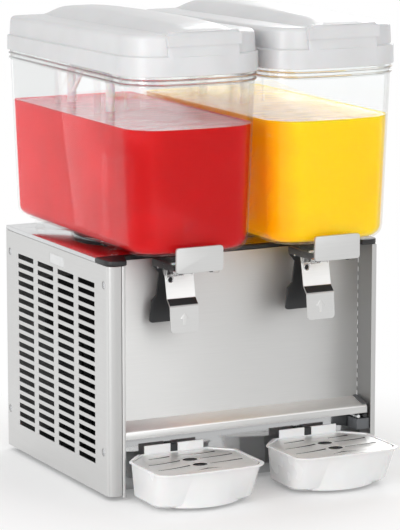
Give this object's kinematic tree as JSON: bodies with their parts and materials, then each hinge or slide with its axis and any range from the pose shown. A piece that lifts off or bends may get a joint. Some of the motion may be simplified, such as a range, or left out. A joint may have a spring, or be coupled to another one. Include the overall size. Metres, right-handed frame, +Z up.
{
  "type": "juice dispenser",
  "caption": "Cold drink dispenser: a slotted stainless cabinet with clear lift-off bowls, lids, push-lever taps and hanging drip trays.",
  "frame": {"origin": "middle of the footprint's box, on the counter", "axes": "+Z up, +X across the front to the right seen from the front, +Y from the front to the back"},
  "size_m": [0.41, 0.4636, 0.638],
  "materials": {
    "brushed_stainless": "brushed",
    "polished_stainless": "polished",
    "galvanised_steel": "dull",
    "clear_polycarbonate": "clear",
    "pale_grey_plastic": "satin",
    "white_plastic": "gloss",
    "black_plastic": "satin",
    "black_rubber": "matt",
    "black_paint": "satin",
    "fin_aluminium": "mill"
  },
  "bodies": {
    "cabinet": {"base_pan": "galvanised_steel", "left_side_panel": "brushed_stainless", "right_side_panel": "brushed_stainless", "front_edge_strip": "brushed_stainless", "front_panel": "brushed_stainless", "lower_front_panel": "polished_stainless", "back_panel": "brushed_stainless", "top_deck": "polished_stainless", "deck_trim": "black_plastic", "compressor": "black_paint", "condenser": "fin_aluminium", "fan_shroud": "black_paint", "fan_motor": "black_paint", "cable_gland": "black_plastic", "switch_bezel": "black_plastic", "front_left_foot": "black_rubber", "front_right_foot": "black_rubber", "back_left_foot": "black_rubber", "back_right_foot": "black_rubber", "left_cooling_dome": "polished_stainless", "left_seal_ring": "black_rubber", "left_mixer_motor": "black_paint", "left_tray_catch": "black_plastic", "right_cooling_dome": "polished_stainless", "right_seal_ring": "black_rubber", "right_mixer_motor": "black_paint", "right_tray_catch": "black_plastic"},
    "fan": {"fan_blades": "black_plastic"},
    "thermostat": {"thermostat_knob": "black_plastic"},
    "main_rocker": {"main_switch": "black_plastic"},
    "left_rocker": {"left_mixer_switch": "black_plastic"},
    "right_rocker": {"right_mixer_switch": "black_plastic"},
    "left_bowl": {"left_jar": "clear_polycarbonate", "left_pivot_pin": "polished_stainless", "left_lever_spring": "brushed_stainless", "left_tap_cover": "brushed_stainless", "left_spray_tube": "white_plastic"},
    "left_cover": {"left_lid": "pale_grey_plastic"},
    "left_tap_lever": {"left_cup_lever": "black_plastic", "left_push_plate": "brushed_stainless"},
    "left_valve": {"left_valve_plunger": "white_plastic"},
    "left_mixer": {"left_impeller": "white_plastic"},
    "left_tray": {"left_drip_tray": "white_plastic"},
    "left_grate": {"left_drip_grate": "polished_stainless"},
    "right_bowl": {"right_jar": "clear_polycarbonate", "right_pivot_pin": "polished_stainless", "right_lever_spring": "brushed_stainless", "right_tap_cover": "brushed_stainless", "right_spray_tube": "white_plastic"},
    "right_cover": {"right_lid": "pale_grey_plastic"},
    "right_tap_lever": {"right_cup_lever": "black_plastic", "right_push_plate": "brushed_stainless"},
    "right_valve": {"right_valve_plunger": "white_plastic"},
    "right_mixer": {"right_impeller": "white_plastic"},
    "right_tray": {"right_drip_tray": "white_plastic"},
    "right_grate": {"right_drip_grate": "polished_stainless"}
  },
  "joints": [
    {"name": "fan_spin", "type": "hinge", "parent": "cabinet", "child": "fan", "pos_m": [-0.07, 0.1692, 0.126], "axis": [0, 1, 0], "continuous": true},
    {"name": "thermostat_turn", "type": "hinge", "parent": "cabinet", "child": "thermostat", "pos_m": [-0.06, 0.2192, 0.288], "axis": [0, 1, 0], "range_deg": [-135, 135]},
    {"name": "main_rocker_press", "type": "hinge", "parent": "cabinet", "child": "main_rocker", "pos_m": [0.06, 0.2189, 0.288], "axis": [-1, 0, 0], "range_deg": [0, 8]},
    {"name": "left_rocker_press", "type": "hinge", "parent": "cabinet", "child": "left_rocker", "pos_m": [0.094, 0.2189, 0.288], "axis": [-1, 0, 0], "range_deg": [0, 8]},
    {"name": "right_rocker_press", "type": "hinge", "parent": "cabinet", "child": "right_rocker", "pos_m": [0.128, 0.2189, 0.288], "axis": [-1, 0, 0], "range_deg": [0, 8]},
    {"name": "left_bowl_lift", "type": "slide", "parent": "cabinet", "child": "left_bowl", "axis": [0, 0, 1], "range_m": [0, 0.15]},
    {"name": "left_lid_lift", "type": "slide", "parent": "left_bowl", "child": "left_cover", "axis": [0, 0, 1], "range_m": [0, 0.08]},
    {"name": "left_lever_push", "type": "hinge", "parent": "left_bowl", "child": "left_tap_lever", "pos_m": [-0.1085, -0.1848, 0.3155], "axis": [1, 0, 0], "range_deg": [0, 8], "stiffness_Nm_per_rad": 0.3, "springref_deg": -22.92},
    {"name": "left_valve_lift", "type": "slide", "parent": "left_bowl", "child": "left_valve", "axis": [0, 0, 1], "range_m": [0, 0.0028]},
    {"name": "left_mixer_spin", "type": "hinge", "parent": "cabinet", "child": "left_mixer", "pos_m": [-0.1025, 0.0752, 0.455], "axis": [0, 0, 1], "continuous": true},
    {"name": "left_tray_lift", "type": "slide", "parent": "cabinet", "child": "left_tray", "axis": [0, 0, 1], "range_m": [0, 0.012]},
    {"name": "left_grate_lift", "type": "slide", "parent": "left_tray", "child": "left_grate", "axis": [0, 0, 1], "range_m": [0, 0.012]},
    {"name": "right_bowl_lift", "type": "slide", "parent": "cabinet", "child": "right_bowl", "axis": [0, 0, 1], "range_m": [0, 0.15]},
    {"name": "right_lid_lift", "type": "slide", "parent": "right_bowl", "child": "right_cover", "axis": [0, 0, 1], "range_m": [0, 0.08]},
    {"name": "right_lever_push", "type": "hinge", "parent": "right_bowl", "child": "right_tap_lever", "pos_m": [0.0965, -0.1848, 0.3155], "axis": [1, 0, 0], "range_deg": [0, 8], "stiffness_Nm_per_rad": 0.3, "springref_deg": -22.92},
    {"name": "right_valve_lift", "type": "slide", "parent": "right_bowl", "child": "right_valve", "axis": [0, 0, 1], "range_m": [0, 0.0028]},
    {"name": "right_mixer_spin", "type": "hinge", "parent": "cabinet", "child": "right_mixer", "pos_m": [0.1025, 0.0752, 0.455], "axis": [0, 0, 1], "continuous": true},
    {"name": "right_tray_lift", "type": "slide", "parent": "cabinet", "child": "right_tray", "axis": [0, 0, 1], "range_m": [0, 0.012]},
    {"name": "right_grate_lift", "type": "slide", "parent": "right_tray", "child": "right_grate", "axis": [0, 0, 1], "range_m": [0, 0.012]}
  ],
  "couplings": [
    {"joint": "left_valve_lift", "follows": "left_lever_push", "m_per_rad": 0.02},
    {"joint": "right_valve_lift", "follows": "right_lever_push", "m_per_rad": 0.02}
  ]
}
